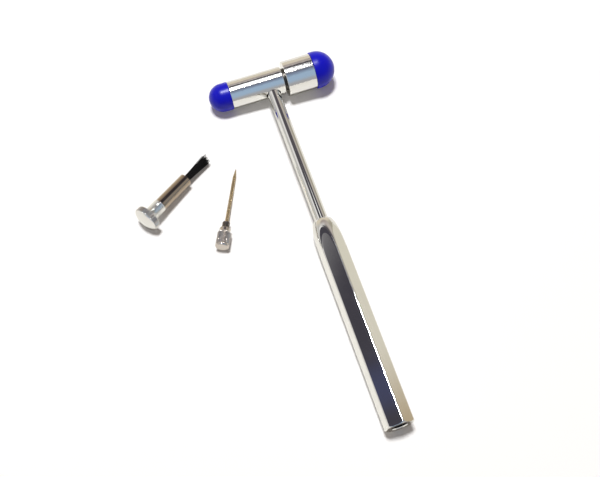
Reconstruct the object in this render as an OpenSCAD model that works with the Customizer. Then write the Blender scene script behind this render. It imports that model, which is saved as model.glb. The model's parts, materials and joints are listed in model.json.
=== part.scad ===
// Two-headed reflex hammer with its needle and its brush taken out and laid beside it.
//
// The hammer lies on a flat surface at z = 0, on the small bumper, the collar's inner rim
// and one corner of the handle's end. Its head runs along X, large bumper to +X, and its
// handle along -Y. The origin is the middle of the whole layout, on that surface.
// Millimetres and degrees.

/* [Head] */
// Diameter of the slim barrel
barrel_d = 13; // [10.8:0.1:15.6]
// From the shaft's axis to the small bumper's seat
barrel_reach = 19.7; // [16.4:0.1:24]
// From the shaft's axis to the groove before the collar
barrel_heel = 6.2; // [5.2:0.1:7.5]
// Width of the turned groove between barrel and collar
groove_w = 1.2; // [0.8:0.1:2]
// Depth of that groove below the barrel's surface
groove_depth = 1.3; // [0.8:0.1:1.6]
// Diameter of the heavy collar
collar_d = 16.7; // [13.9:0.1:20.1]
// Length of the collar
collar_len = 13.9; // [11.6:0.1:16.8]
// Diameter of the barrel's spigot that the collar is pressed on
spigot_d = 8; // [6.6:0.1:9.6]
// Length of that spigot
spigot_len = 5.5; // [4.5:0.1:6.6]

/* [Bumpers] */
// How far the large bumper stands proud of the collar all round
large_proud = 0.35; // [0.2:0.05:0.6]
// Straight part of the large bumper before its dome
large_skirt = 1.8; // [1.5:0.1:3]
// Diameter of the large bumper's stem
large_stem_d = 10; // [8.3:0.1:12]
// Length of the large bumper's stem
large_stem_len = 7; // [5.8:0.1:7.2]
// How far the small bumper stands proud of the barrel all round
small_proud = 0.1; // [0.05:0.05:0.4]
// Straight part of the small bumper before its dome
small_skirt = 3.5; // [2.9:0.1:4.2]
// Diameter of the small bumper's stem
small_stem_d = 7.6; // [6.3:0.1:9.2]
// Length of the small bumper's stem
small_stem_len = 6.5; // [5.4:0.1:7.8]

/* [Shaft] */
// Diameter of the shaft
shaft_d = 6; // [5:0.1:7.2]
// From the head's axis to the top of the handle
shaft_reach = 76.9; // [64:0.1:93]
// How far the shaft is sunk below the barrel's surface
seat_depth = 1.4; // [1.2:0.1:1.7]
// Wall left round the needle's channel in the shaft's spigot
shaft_spigot_wall = 1; // [0.8:0.1:1.2]
// Length of the shaft's spigot in the head
shaft_spigot_len = 4; // [3.3:0.1:4.8]
// How far the shaft goes into the handle
shaft_engagement = 9; // [7.5:0.1:11]

/* [Handle] */
// Length of the handle
handle_len = 93.4; // [77.8:0.1:112.1]
// Width of the six-sided handle across its flats
handle_af = 11.1; // [9.2:0.1:13.3]
// How much is turned off each corner
corner_ease = 0.12; // [0.06:0.02:0.3]
// Length of the rounded shoulder where the handle starts
shoulder_len = 16; // [13:0.5:19.5]
// Flat lip round the shaft at the top of the shoulder
shoulder_lip = 0.8; // [0.6:0.1:1.2]
// Chamfer at the handle's open end
end_chamfer = 0.5; // [0.3:0.1:0.8]
// Turn of the six flats about the shaft, where the joint came tight
handle_turn = 18.3; // [0:0.1:60]

/* [Needle] */
// Diameter of the knurled knob
knob_d = 6.1; // [5.2:0.1:7.4]
// Length of the knurled knob
knob_len = 7.5; // [6.2:0.1:9]
// Diameter of the shoulder that seats on the head
knob_shoulder_d = 4.9; // [4.1:0.1:5.9]
// Length of that shoulder
knob_shoulder_len = 2; // [1.6:0.1:2.4]
// Diameter of the needle's thread
needle_thread_d = 3.3; // [2.8:0.1:4]
// Length of the needle's thread
needle_thread_len = 3.2; // [2.7:0.1:3.8]
// Diameter of the steel pin
pin_d = 1.5; // [1.2:0.1:1.8]
// Length of the pin outside its knob
pin_len = 29; // [24:0.5:35]
// Length of the pin's ground point
point_len = 4.5; // [3.5:0.1:6]
// How deep the pin is pressed into the knob
pin_grip = 6; // [5:0.1:7.2]

/* [Brush] */
// Diameter of the knurled cap
cap_d = 11.8; // [10:0.1:14.2]
// Height of the cap's knurled side
cap_side = 3; // [2.5:0.1:3.6]
// Rise of the cap's domed end
cap_dome = 1.6; // [1.3:0.1:2]
// Length of the plain neck under the cap
neck_len = 1.2; // [1:0.1:1.5]
// Diameter of the plug's thread
plug_d = 6.5; // [5.4:0.1:7.7]
// Length of the plug's thread
plug_len = 5.7; // [4.8:0.1:6.8]
// How far the ferrule is smaller than the thread, all round
ferrule_step = 0.3; // [0.25:0.05:0.45]
// Length of the ferrule
ferrule_len = 17.5; // [14.6:0.1:21]
// Wall of the ferrule
ferrule_wall = 1.1; // [0.9:0.05:1.3]
// How deep the plug's spigot goes into the ferrule
ferrule_grip = 4; // [3.3:0.1:4.8]
// Bristles outside the ferrule
bristle_len = 15.2; // [12.7:0.1:18.2]
// Bristles held inside the ferrule
bristle_root = 9; // [7.5:0.1:10]
// Gap between the bundle and the ferrule's mouth, all round
mouth_gap = 0.35; // [0.25:0.05:0.45]
// How far the bundle fans out at its tip, all round
bristle_fan = 0.9; // [0.5:0.1:1.1]
// Length of the resin that sets the bristles
resin_len = 3.5; // [2.9:0.1:4.2]

/* [Threads and knurls] */
// Pitch of the brush's fine thread
plug_pitch = 0.75; // [0.5:0.05:1]
// Pitch of the needle's fine thread
needle_pitch = 0.5; // [0.4:0.05:0.7]
// Ridges round the brush's cap
cap_ridges = 36; // [24:2:44]
// Ridges round the needle's knob
knob_ridges = 24; // [16:2:26]
// Depth of the knurls
knurl_depth = 0.3; // [0.2:0.05:0.35]

/* [Fits] */
// Radial gap of a thread in its hole
thread_gap = 0.05; // [0.03:0.01:0.08]
// Radial gap of a bumper's stem in its socket
stem_gap = 0.05; // [0.02:0.01:0.08]
// Radial gap of pressed and soldered joints
press_gap = 0.02; // [0.01:0.01:0.04]
// Gap at the bottom of blind holes
bottom_gap = 0.3; // [0.2:0.1:0.6]
// Free room round the brush in the handle's bore
bore_room = 0.1; // [0.05:0.05:0.1]

/* [Layout] */
// From the shaft's axis across to the brush's cap
brush_across = 70.5; // [62:0.1:86]
// From the head's axis down to the brush's cap
brush_down = 50.4; // [42:0.1:61]
// Direction that the brush points in
brush_heading = 36; // [25:1:60]
// From the shaft's axis across to the needle's knob
needle_across = 41.5; // [36:0.1:50]
// From the head's axis down to the needle's knob
needle_down = 67.1; // [56:0.1:80]
// Direction that the needle points in
needle_heading = 66; // [50:1:90]

/* [Hidden] */
$fn = 96;
eps = 0.01;

// Head
barrel_r = barrel_d / 2;
collar_r = collar_d / 2;
groove_r = barrel_r - groove_depth;
spigot_r = spigot_d / 2;
collar_x = barrel_heel + groove_w;
collar_end = collar_x + collar_len;
head_edge = 0.35; // chamfer on the head's turned edges
large_r = collar_r + large_proud;
small_r = barrel_r + small_proud;
large_centre = collar_end + large_skirt;
small_centre = barrel_reach + small_skirt;

// Needle
needle_thread_r = needle_thread_d / 2;
socket_r = needle_thread_r + thread_gap;
spot_r = knob_shoulder_d / 2 + 0.25;
spot_y = sqrt(barrel_r * barrel_r - spot_r * spot_r);
socket_len = needle_thread_len + bottom_gap;
channel_r = pin_d / 2 + 0.45;
needle_total = needle_thread_len + pin_len;
knob_edge = 0.8; // chamfer on the knob's free end

// Shaft
shaft_r = shaft_d / 2;
seat_y = barrel_r - seat_depth;
shaft_spigot_r = channel_r + shaft_spigot_wall;
shaft_top = seat_y - shaft_spigot_len;
channel_end = needle_total - spot_y + 1;
shaft_end = shaft_reach + shaft_engagement;

// Handle
handle_end = shaft_reach + handle_len;
corner_r = handle_af / 2 / cos(30) - corner_ease;
shoulder_r = shaft_r + shoulder_lip;

// Brush
cap_r = cap_d / 2;
plug_r = plug_d / 2;
neck_r = plug_r - 0.4;
ferrule_r = plug_r - ferrule_step;
ferrule_bore_r = ferrule_r - ferrule_wall;
bundle_r = ferrule_bore_r - mouth_gap;
tip_r = bundle_r + bristle_fan;
ferrule_x = neck_len + plug_len;
mouth_x = ferrule_x + ferrule_len;
brush_reach = mouth_x + bristle_len;
cap_edge = 0.4; // chamfer on the cap's two rims
brush_socket_r = plug_r + thread_gap;
brush_bore_r = max(ferrule_r, tip_r) + bore_room;
thread_wall_len = ferrule_x + 1.1;

// How the hammer lies: the head tips until the collar's inner rim, or else the large
// bumper, meets the surface together with the small bumper. Then the handle drops until
// its lowest eased corner meets it too.
rim_span = small_centre + collar_x + head_edge;
rim_tip = acos(small_r / norm([collar_r, rim_span])) - atan2(rim_span, collar_r);
ball_tip = asin((large_r - small_r) / (small_centre + large_centre));
head_tip = max(rim_tip, ball_tip);
head_z = small_r + small_centre * sin(head_tip);
ease_turn = 30 - acos(handle_af / 2 / corner_r);
corner_swing = min([for (k = [0:5]) abs(handle_turn + head_tip + 60 * k - 270)]);
corner_depth = corner_r * cos(max(0, corner_swing - ease_turn));
handle_drop = asin((head_z - corner_depth) / (handle_end - end_chamfer));

// How the loose pieces lie: the brush on its cap's rim and its bristles' tips, the needle
// on its knob's rim and the edge where its point starts.
brush_tip = atan2(cap_r - tip_r, brush_reach + cap_edge);
brush_z = cap_r * cos(brush_tip) - cap_edge * sin(brush_tip);
needle_tip = atan2(knob_d / 2 - pin_d / 2, knob_shoulder_len + needle_total - point_len);
needle_z = knob_d / 2 * cos(needle_tip);

// The middle of the layout.
brush_back = cos(brush_tip) * cap_side * cos(brush_heading)
    + cap_r * sqrt(1 - pow(cos(brush_heading) * cos(brush_tip), 2));
head_x = (brush_across + brush_back - large_centre * cos(head_tip) - large_r) / 2;
head_y = (handle_end - large_r) / 2;

// A solid turned about X from a profile of [x, radius] points that starts and ends on X.
module turned(profile)
    rotate([0, 90, 0]) rotate([0, 0, 180])
        rotate_extrude() polygon([for (p = profile) [p[1], p[0]]]);

// A round hole along X from x0 to x1.
module bore_x(r, x0, x1)
    translate([x0, 0, 0]) rotate([0, 90, 0]) cylinder(r = r, h = x1 - x0);

// A round hole along Y from y0 to y1.
module bore_y(r, y0, y1)
    translate([0, y1, 0]) rotate([90, 0, 0]) cylinder(r = r, h = y1 - y0);

// The profile of V-shaped thread ridges from x0 to x1.
function thread_profile(r, depth, pitch, x0, x1) =
    let (turns = floor((x1 - x0) / pitch), step = (x1 - x0) / turns)
    [for (i = [0:turns - 1]) each [
        [x0 + i * step, r - depth],
        [x0 + (i + 0.5) * step - eps, r],
        [x0 + (i + 0.5) * step + eps, r]
    ], [x1, r - depth]];

// V-shaped grooves along X all round a knurled rim, with a ridge at the bottom.
module knurl_grooves(r, ridges, x0, x1)
    for (i = [0.5:ridges - 0.5])
        rotate([360 / ridges * i, 0, 0])
            translate([x0, 0, r])
                rotate([45, 0, 0])
                    translate([0, -knurl_depth * sqrt(0.5), -knurl_depth * sqrt(0.5)])
                        cube([x1 - x0, knurl_depth * sqrt(2), knurl_depth * sqrt(2)]);

module on_surface()
    translate([head_x, head_y, head_z])
        rotate([handle_drop, 0, 0])
            rotate([0, -head_tip, 0])
                children();

module laid_out(across, down, z, heading, tip)
    translate([head_x - across, head_y - down, z])
        rotate([0, tip, heading])
            children();

module brush_place()
    laid_out(brush_across, brush_down, brush_z, brush_heading, brush_tip) children();

module needle_place()
    laid_out(needle_across, needle_down, needle_z, needle_heading, needle_tip) children();

// Slim half of the head, with the spigot for the collar and the sockets for the small
// bumper, the shaft and the needle.
module head_barrel()
    color("silver") on_surface() difference() {
        turned([
            [-barrel_reach, 0],
            [-barrel_reach, barrel_r - head_edge],
            [-barrel_reach + head_edge, barrel_r],
            [barrel_heel - head_edge, barrel_r],
            [barrel_heel, barrel_r - head_edge],
            [barrel_heel, groove_r],
            [collar_x, groove_r],
            [collar_x, spigot_r],
            [collar_x + spigot_len, spigot_r],
            [collar_x + spigot_len, 0]
        ]);
        bore_x(small_stem_d / 2 + stem_gap, -barrel_reach - 1,
            -barrel_reach + small_stem_len + bottom_gap);
        bore_y(shaft_r + press_gap, -barrel_r - 1, -seat_y);
        bore_y(shaft_spigot_r + press_gap, -seat_y - eps, -shaft_top + bottom_gap);
        bore_y(channel_r, -shaft_top, spot_y - socket_len + eps);
        bore_y(socket_r, spot_y - socket_len, spot_y + eps);
        bore_y(spot_r, spot_y, barrel_r + 1);
    }

// Heavy collar, pressed on the barrel's spigot, with the large bumper's socket.
module head_collar()
    color("silver") on_surface() difference() {
        turned([
            [collar_x, 0],
            [collar_x, collar_r - head_edge],
            [collar_x + head_edge, collar_r],
            [collar_end - head_edge, collar_r],
            [collar_end, collar_r - head_edge],
            [collar_end, 0]
        ]);
        bore_x(spigot_r + press_gap, collar_x - 1, collar_end - large_stem_len);
        bore_x(large_stem_d / 2 + stem_gap, collar_end - large_stem_len - bottom_gap,
            collar_end + 1);
    }

// A domed rubber bumper that plugs into the head's end at x = 0 and points to +X.
module bumper(r, skirt, stem_r, stem_len)
    union() {
        bore_x(r, 0, skirt);
        intersection() {
            translate([skirt, 0, 0]) sphere(r = r);
            translate([skirt, -r - 1, -r - 1]) cube([r + 1, 2 * r + 2, 2 * r + 2]);
        }
        bore_x(stem_r, -stem_len, eps);
    }

module bumper_large()
    color("blue") on_surface() translate([collar_end, 0, 0])
        bumper(large_r, large_skirt, large_stem_d / 2, large_stem_len);

module bumper_small()
    color("blue") on_surface() translate([-barrel_reach, 0, 0]) rotate([0, 0, 180])
        bumper(small_r, small_skirt, small_stem_d / 2, small_stem_len);

// Shaft with the needle's channel in its head end.
module shaft_rod()
    color("silver") on_surface() difference() {
        union() {
            bore_y(shaft_r, -shaft_end, -seat_y);
            bore_y(shaft_spigot_r, -seat_y - eps, -shaft_top);
        }
        bore_y(channel_r, -channel_end, -shaft_top + 1);
    }

// Six-sided handle with a rounded shoulder, the shaft's socket and the brush's bore.
function shoulder_profile(steps = 12) =
    [for (i = [0:steps]) let (t = 90 * i / steps)
        [shoulder_len * (1 - cos(t)), shoulder_r + (corner_r - shoulder_r) * sin(t)]];

module handle_grip()
    color("silver") on_surface()
        translate([0, -shaft_reach, 0]) rotate([0, -handle_turn, 0]) rotate([0, 0, -90])
            difference() {
                intersection() {
                    rotate([0, 90, 0]) rotate([0, 0, 30])
                        cylinder(r = handle_af / 2 / cos(30), h = handle_len, $fn = 6);
                    turned(concat(
                        [[0, 0]],
                        shoulder_profile(),
                        [
                            [handle_len - end_chamfer, corner_r],
                            [handle_len, corner_r - end_chamfer],
                            [handle_len, 0]
                        ]));
                }
                bore_x(shaft_r + press_gap, -1, shaft_engagement + bottom_gap);
                bore_x(brush_socket_r, handle_len - thread_wall_len, handle_len + 1);
                bore_x(brush_bore_r, handle_len - brush_reach - bottom_gap, handle_len);
            }

// Knurled knob with the shoulder that seats on the head and the needle's thread.
module needle_knob()
    color("silver") needle_place() difference() {
        turned(concat(
            [
                [-knob_len, 0],
                [-knob_len, knob_d / 2 - knob_edge],
                [-knob_len + knob_edge, knob_d / 2],
                [0, knob_d / 2],
                [0.5, knob_shoulder_d / 2],
                [knob_shoulder_len, knob_shoulder_d / 2]
            ],
            thread_profile(needle_thread_r, needle_pitch / 2, needle_pitch,
                knob_shoulder_len, knob_shoulder_len + needle_thread_len),
            [[knob_shoulder_len + needle_thread_len, 0]]));
        knurl_grooves(knob_d / 2, knob_ridges, -knob_len - 1, -0.6);
        bore_x(pin_d / 2 + press_gap, knob_shoulder_len + needle_thread_len - pin_grip,
            knob_shoulder_len + needle_total);
    }

// Ground steel pin, pressed into the knob.
module needle_pin()
    color("tan") needle_place()
        turned([
            [knob_shoulder_len + needle_thread_len - pin_grip, 0],
            [knob_shoulder_len + needle_thread_len - pin_grip, pin_d / 2],
            [knob_shoulder_len + needle_total - point_len, pin_d / 2],
            [knob_shoulder_len + needle_total, 0]
        ]);

// Knurled, domed cap with the threaded plug that closes the handle.
function dome_profile(r, rise, x, steps = 8) =
    [for (i = [0:steps]) let (t = 90 * i / steps) [x - rise * cos(t), r * sin(t)]];

module brush_cap()
    color("silver") brush_place() difference() {
        turned(concat(
            dome_profile(cap_r - cap_edge, cap_dome, -cap_side),
            [
                [-cap_side + cap_edge, cap_r],
                [-cap_edge, cap_r],
                [0, cap_r - cap_edge],
                [0, neck_r],
                [neck_len, neck_r]
            ],
            thread_profile(plug_r, plug_pitch / 2, plug_pitch, neck_len, ferrule_x),
            [
                [ferrule_x, ferrule_bore_r - press_gap],
                [ferrule_x + ferrule_grip, ferrule_bore_r - press_gap],
                [ferrule_x + ferrule_grip, 0]
            ]));
        knurl_grooves(cap_r, cap_ridges, -cap_side + 0.3, 1);
    }

// Tube pressed on the plug's spigot.
module brush_ferrule()
    color("gray") brush_place() difference() {
        bore_x(ferrule_r, ferrule_x, mouth_x);
        bore_x(ferrule_bore_r, ferrule_x - 1, mouth_x + 1);
    }

// Resin that sets the bristles' roots in the ferrule.
module brush_resin()
    color("khaki") brush_place() difference() {
        bore_x(ferrule_bore_r - press_gap, mouth_x - bristle_root - 1,
            mouth_x - bristle_root + resin_len);
        bore_x(bundle_r + press_gap, mouth_x - bristle_root,
            mouth_x - bristle_root + resin_len + 1);
    }

// Outer shape of the bristles, from their set roots to their fanned tips.
module brush_bristles()
    color("black") brush_place()
        turned([
            [mouth_x - bristle_root, 0],
            [mouth_x - bristle_root, bundle_r],
            [mouth_x, bundle_r],
            [brush_reach, tip_r],
            [brush_reach, 0]
        ]);

head_barrel();
head_collar();
bumper_large();
bumper_small();
shaft_rod();
handle_grip();
needle_knob();
needle_pin();
brush_cap();
brush_ferrule();
brush_resin();
brush_bristles();
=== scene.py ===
import json
import math

import bpy
import numpy as np
from mathutils import Matrix, Vector


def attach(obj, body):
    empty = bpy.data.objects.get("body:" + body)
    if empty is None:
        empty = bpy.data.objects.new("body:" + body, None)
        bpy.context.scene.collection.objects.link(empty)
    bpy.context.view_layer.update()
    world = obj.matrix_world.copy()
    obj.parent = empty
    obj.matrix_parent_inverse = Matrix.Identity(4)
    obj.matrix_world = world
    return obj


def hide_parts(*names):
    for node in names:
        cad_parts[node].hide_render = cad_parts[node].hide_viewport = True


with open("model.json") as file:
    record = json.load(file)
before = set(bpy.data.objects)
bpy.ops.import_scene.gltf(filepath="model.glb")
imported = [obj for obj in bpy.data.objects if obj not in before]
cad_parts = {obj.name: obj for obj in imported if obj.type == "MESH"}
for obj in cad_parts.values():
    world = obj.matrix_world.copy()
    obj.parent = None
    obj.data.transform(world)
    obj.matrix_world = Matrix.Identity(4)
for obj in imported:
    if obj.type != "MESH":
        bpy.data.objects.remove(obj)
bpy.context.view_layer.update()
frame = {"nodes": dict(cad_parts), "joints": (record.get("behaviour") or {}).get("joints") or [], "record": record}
mm = 0.001

# Camera. It looks down on the layout from beyond the handle's open end and a little to the
# left, through a lens slightly longer than normal.
aim = Vector((11.74, 2.3, 0)) * mm
azimuth = math.radians(-18.05)
elevation = math.radians(63.65)
distance = 351.3
back = Vector((
    math.sin(azimuth) * math.cos(elevation),
    -math.cos(azimuth) * math.cos(elevation),
    math.sin(elevation),
))


def linked(name, data):
    """A new object in the scene, for a camera, a lamp or a mesh."""
    made = bpy.data.objects.new(name, data)
    bpy.context.collection.objects.link(made)
    return made


camera = linked("camera", bpy.data.cameras.new("camera"))
camera.data.lens = 48
camera.data.clip_start = 10 * mm
camera.location = aim + back * distance * mm
camera.rotation_mode = "QUATERNION"
camera.rotation_quaternion = (-back).to_track_quat("-Z", "Y")
bpy.context.scene.camera = camera
bpy.context.scene.view_settings.view_transform = "Standard"


# Table. A sheet of matt white paper, lit like the pieces, so that it keeps their shadows. The
# camera sees it lifted a little towards clean white, and fully so well away from the pieces.
# Polished metal sees it a little creamier.
def new_material(name):
    """A material with an empty node tree, and functions that add a node and join sockets."""
    made = bpy.data.materials.new(name)
    made.use_nodes = True
    made.node_tree.nodes.clear()
    return made, *node_maker(made.node_tree)


def node_maker(tree):
    """Functions that add a node to a tree and join two of its sockets."""

    def add(kind, settings=None, **values):
        node = tree.nodes.new(kind)
        for key, value in (settings or {}).items():
            setattr(node, key, value)
        for key, value in values.items():
            node.inputs[key.replace("_", " ")].default_value = value
        return node

    def join(source, target):
        tree.links.new(source, target)

    return add, join


def maths_for(add, join):
    """A function that adds a maths node, fed by numbers or by other nodes' outputs."""

    def maths(operation, *values):
        node = add("ShaderNodeMath", {"operation": operation})
        for socket, value in zip(node.inputs, values):
            if isinstance(value, (int, float)):
                socket.default_value = value
            else:
                join(value, socket)
        return node.outputs[0]

    return maths


def seen_by(add, join, *kinds):
    """A value of 1 for rays of the named kinds, and 0 for all others."""
    rays = add("ShaderNodeLightPath").outputs
    total = rays[kinds[0]]
    for kind in kinds[1:]:
        total = maths_for(add, join)("MAXIMUM", total, rays[kind])
    return total


table_half = 1.5
table_mesh = bpy.data.meshes.new("table_top")
table_mesh.from_pydata([
    (-table_half, -table_half, 0),
    (table_half, -table_half, 0),
    (table_half, table_half, 0),
    (-table_half, table_half, 0),
], [], [(0, 1, 2, 3)])
table_top = linked("table_top", table_mesh)
lift_starts = 0.2
lift_full = 0.5
lift_near = 0.08
paper, add, join = new_material("white_paper")
diffuse = add("ShaderNodeBsdfDiffuse")
sheet_colour = add("ShaderNodeMix", {"data_type": "RGBA"})
sheet_colour.inputs[6].default_value = (0.9, 0.9, 0.9, 1)
sheet_colour.inputs[7].default_value = (0.84, 0.83, 0.78, 1)
lift = add("ShaderNodeEmission", Color=(1, 1, 1, 1))
where = add("ShaderNodeTexCoord")
away = add("ShaderNodeVectorMath", {"operation": "LENGTH"})
lift_far = add("ShaderNodeMapRange", {"interpolation_type": "SMOOTHSTEP"})
lift_far.inputs["From Min"].default_value = lift_starts
lift_far.inputs["From Max"].default_value = lift_full
lift_far.inputs["To Min"].default_value = lift_near
to_camera = seen_by(add, join, "Is Camera Ray", "Is Transmission Ray")
lift_level = maths_for(add, join)("MULTIPLY", to_camera, lift_far.outputs["Result"])
both = add("ShaderNodeAddShader")
out = add("ShaderNodeOutputMaterial")
join(seen_by(add, join, "Is Glossy Ray"), sheet_colour.inputs["Factor"])
join(sheet_colour.outputs[2], diffuse.inputs["Color"])
join(where.outputs["Object"], away.inputs[0])
join(away.outputs["Value"], lift_far.inputs["Value"])
join(lift_level, lift.inputs["Strength"])
join(diffuse.outputs[0], both.inputs[0])
join(lift.outputs[0], both.inputs[1])
join(both.outputs[0], out.inputs["Surface"])
table_top.data.materials.append(paper)


# Light. One soft rectangular lamp, hung high above the table and a little behind the head. The
# camera doesn't see it, but glossy pieces mirror it. The room adds only a dim warm light.
key_lamp = linked("key_lamp", bpy.data.lights.new("key_lamp", "AREA"))
key_lamp.location = (-0.04, 0.36, 1.7)
key_lamp.rotation_mode = "QUATERNION"
key_lamp.rotation_quaternion = (-key_lamp.location).to_track_quat("-Z", "Y")
key_lamp.data.shape = "RECTANGLE"
key_lamp.data.size = 0.38
key_lamp.data.size_y = 0.3
key_lamp.data.energy = 29
key_lamp.visible_camera = False

# Studio. Polished metal mirrors the room round it, which is painted here by direction: a dark
# ceiling that turns blue towards the camera, pale and cream walls, a bright strip overhead, a
# small dark patch on the left and a small bright one on the right.
world = bpy.data.worlds.new("studio")
world.use_nodes = True
world.node_tree.nodes.clear()
bpy.context.scene.world = world
add, join = node_maker(world.node_tree)
maths = maths_for(add, join)


def fade(value, start, stop):
    """A smooth step of a value from 0 at start to 1 at stop."""
    step = add("ShaderNodeMapRange", {"interpolation_type": "SMOOTHSTEP"})
    step.inputs["From Min"].default_value = start
    step.inputs["From Max"].default_value = stop
    join(value, step.inputs["Value"])
    return step.outputs["Result"]


def blend(factor, first, second):
    """A mix of two colours, each a plain colour or another node's output."""
    mix = add("ShaderNodeMix", {"data_type": "RGBA"})
    join(factor, mix.inputs["Factor"])
    for socket, colour in ((mix.inputs[6], first), (mix.inputs[7], second)):
        if isinstance(colour, tuple):
            socket.default_value = (*colour, 1)
        else:
            join(colour, socket)
    return mix.outputs[2]


looking = add("ShaderNodeTexCoord")
split = add("ShaderNodeSeparateXYZ")
join(looking.outputs["Generated"], split.inputs[0])
to_right, to_back, to_top = split.outputs[0], split.outputs[1], split.outputs[2]
blue = blend(fade(to_top, 0.15, 0.6), (0.42, 0.42, 0.43), (0.37, 0.5, 0.66))
blue = blend(fade(to_top, 0.82, 1.0), blue, (0.2, 0.24, 0.34))
dark = blend(fade(to_back, 0.38, 0.52), (0.06, 0.056, 0.07), (0.1, 0.09, 0.1))
ceiling = blend(fade(to_back, -0.3, 0.1), blue, dark)
right_low = blend(fade(to_back, 0.15, 0.28), (0.5, 0.4, 0.26), (0.76, 0.72, 0.6))
right = blend(fade(to_top, 0.06, 0.16), right_low, (0.43, 0.4, 0.32))
right = blend(fade(to_top, 0.45, 0.62), right, (0.56, 0.5, 0.45))
left = blend(fade(to_top, 0.12, 0.3), (0.68, 0.67, 0.63), (0.55, 0.53, 0.5))
left = blend(fade(to_top, 0.44, 0.56), left, (0.86, 0.84, 0.82))
walls = blend(fade(to_right, -0.1, 0.2), left, right)
rear = blend(fade(to_top, 0.42, 0.6), (0.76, 0.68, 0.54), (0.42, 0.36, 0.33))
walls = blend(fade(to_back, 0.62, 0.8), walls, rear)
front = fade(to_back, -0.25, -0.5)
above = blend(front, blend(fade(to_top, 0.7, 0.8), walls, ceiling), ceiling)


def window(centre, half, soft):
    """1 inside a window above the walls' foot, given by its middle and half sizes in X and Y."""
    inside = fade(to_top, 0.2, 0.3)
    for value, middle, reach_out in zip((to_right, to_back), centre, half):
        off = maths("ABSOLUTE", maths("SUBTRACT", value, middle))
        inside = maths("MULTIPLY", inside, fade(off, reach_out + soft, reach_out))
    return inside


strip = window((0.03, 0.2), (0.05, 0.22), 0.06)
dark_patch = window((-0.53, 0.21), (0.1, 0.01), 0.03)
bright_patch = window((0.6, 0.27), (0.01, 0.04), 0.035)
studio = blend(strip, above, (1.25, 1.25, 1.25))
studio = blend(dark_patch, studio, (0.065, 0.07, 0.13))
studio = blend(bright_patch, studio, (1.6, 1.6, 1.7))
seen = blend(seen_by(add, join, "Is Camera Ray", "Is Transmission Ray"), studio, (1, 1, 1))
lit = blend(seen_by(add, join, "Is Diffuse Ray"), seen, (0.15, 0.117, 0.095))
room = add("ShaderNodeBackground", Strength=1.0)
out = add("ShaderNodeOutputWorld")
join(lit, room.inputs["Color"])
join(room.outputs[0], out.inputs["Surface"])


# Head barrel. A bar of steel turned to a slim cylinder, polished and chrome plated, with a
# groove and a spigot for the collar, and cross holes for the shaft and for the needle.
joints = {joint["name"]: joint for joint in frame["joints"]}
mounts = {mount["name"]: mount for mount in frame["record"]["mounts"]}


def points_of(node):
    """The corner points of a CAD node, in metres, each once."""
    points = np.array([vertex.co[:] for vertex in frame["nodes"][node].data.vertices])
    return np.unique(points.round(7), axis=0)


def reach(node, place):
    """The lowest and highest corner of a CAD node along the axes of a placed piece."""
    local = (points_of(node) - np.array(place.translation)) @ np.array(place.to_3x3())
    return local.min(axis=0), local.max(axis=0)


def placed(along, up, origin):
    """A placing matrix: X along a piece, Z as near to up as it can be, about an origin."""
    x_axis = Vector(along).normalized()
    y_axis = Vector(up).cross(x_axis).normalized()
    turn = Matrix((x_axis, y_axis, x_axis.cross(y_axis))).transposed()
    return Matrix.Translation(origin) @ turn.to_4x4()


head_line = Vector(joints["large_bumper_pull"]["axis"])
shaft_line = Vector(mounts["needle_socket"]["axis"])
head_place = placed(head_line, head_line.cross(shaft_line), (0, 0, 0))
barrel_low, barrel_high = reach("head_barrel", head_place)
shaft_at = head_place.inverted() @ Vector(mounts["needle_socket"]["pos_m"])
head_place = head_place @ Matrix.Translation(
    (shaft_at.x, (barrel_low[1] + barrel_high[1]) / 2, (barrel_low[2] + barrel_high[2]) / 2)
)


def eased(corners, closed=False, steps=6, hold=1.3):
    """Rounds an outline's corners. Each corner is (along, radius) or (along, radius, round).
    The hold puts a point a little past each round, which keeps the straights flat."""
    points = []
    for i, corner in enumerate(corners):
        here = Vector(corner[:2])
        if len(corner) < 3 or not (closed or 0 < i < len(corners) - 1):
            points.append(here)
            continue
        before = (Vector(corners[i - 1][:2]) - here).normalized()
        after = (Vector(corners[(i + 1) % len(corners)][:2]) - here).normalized()
        half = before.angle(after) / 2
        run = corner[2] / math.tan(half)
        centre = here + (before + after).normalized() * (corner[2] / math.sin(half))
        spoke = here + before * run - centre
        sweep = math.copysign(math.pi - 2 * half, before.x * after.y - before.y * after.x) * -1
        points.append(here + before * run * hold)
        for k in range(steps + 1):
            c, s = math.cos(sweep * k / steps), math.sin(sweep * k / steps)
            points.append(centre + Vector((c * spoke.x - s * spoke.y, s * spoke.x + c * spoke.y)))
        points.append(here + after * run * hold)
    return points


def filled(points, spacing):
    """Adds points to an outline so that none is further from the next than the spacing."""
    out = []
    for here, there in zip(points, points[1:]):
        count = max(1, math.ceil((there - here).length / spacing))
        out += [here.lerp(there, k / count) for k in range(count)]
    return out + [points[-1]]


def turned_mesh(name, outline, around=160, closed=False):
    """A mesh turned about X from an outline that starts and ends on X, or that is a loop."""
    rings, corners, faces = [], [], []
    for along, radius in outline:
        if radius < 1e-7:
            rings.append([len(corners)] * around)
            corners.append((along, 0, 0))
            continue
        rings.append(list(range(len(corners), len(corners) + around)))
        for k in range(around):
            angle = 2 * math.pi * k / around
            corners.append((along, radius * math.cos(angle), radius * math.sin(angle)))
    pairs = list(zip(rings, rings[1:])) + ([(rings[-1], rings[0])] if closed else [])
    for near, far in pairs:
        for k in range(around):
            m = (k + 1) % around
            face = (near[k], near[m], far[m], far[k])
            faces.append([v for j, v in enumerate(face) if v != face[j - 1]])
    mesh = bpy.data.meshes.new(name)
    mesh.from_pydata(corners, [], faces)
    return mesh


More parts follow.
